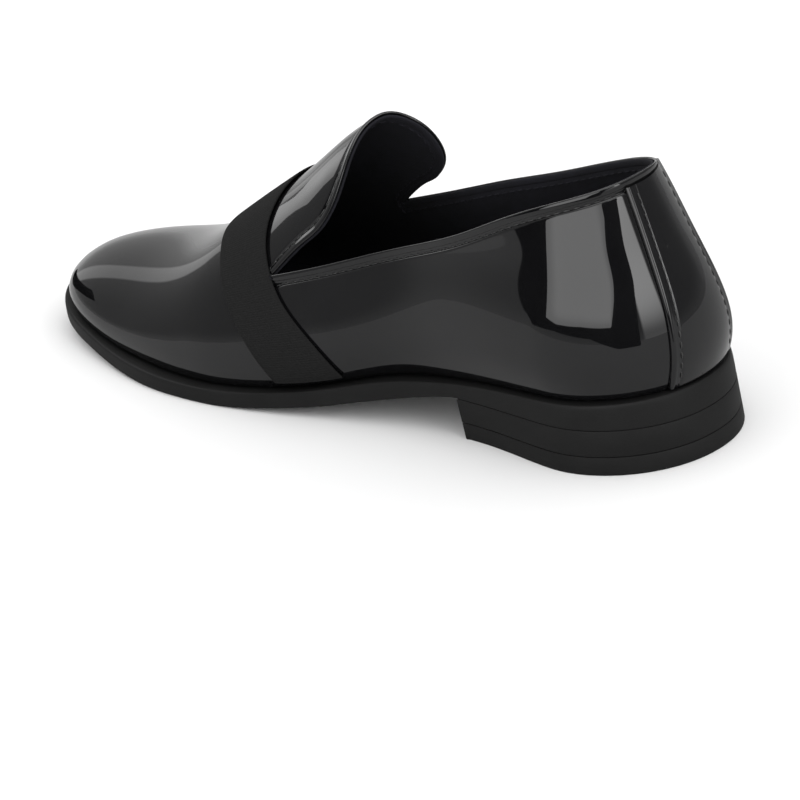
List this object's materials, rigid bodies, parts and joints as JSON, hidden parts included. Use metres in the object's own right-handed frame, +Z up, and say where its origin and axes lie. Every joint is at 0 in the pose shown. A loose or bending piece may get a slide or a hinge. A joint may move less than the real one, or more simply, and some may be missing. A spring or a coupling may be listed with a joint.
{
  "type": "patent slip-on loafer",
  "caption": "Left slip-on dress loafer in black patent leather, with a wide matte cloth band over the vamp, a rounded tongue and a low rubber heel",
  "frame": {"origin": "On the floor, under the middle of the shoe's box", "axes": "+X from heel to toe, +Y towards the wearer's outer side, +Z up"},
  "size_m": [0.2998, 0.0994, 0.0957],
  "materials": {
    "patent_leather": "high-gloss black patent",
    "binding_patent": "gloss black patent edge binding",
    "band_cloth": "matte black ribbed cloth",
    "sole_rubber": "matte black rubber",
    "heel_rubber": "matte black rubber",
    "sock_lining": "matte near-black lining"
  },
  "bodies": {
    "root": {"outsole": "sole_rubber", "heel_block": "heel_rubber", "heel_top_piece": "heel_rubber", "insole": "sock_lining", "upper": "patent_leather", "vamp_band": "band_cloth", "back_strip": "patent_leather", "topline_binding": "binding_patent"}
  },
  "joints": []
}
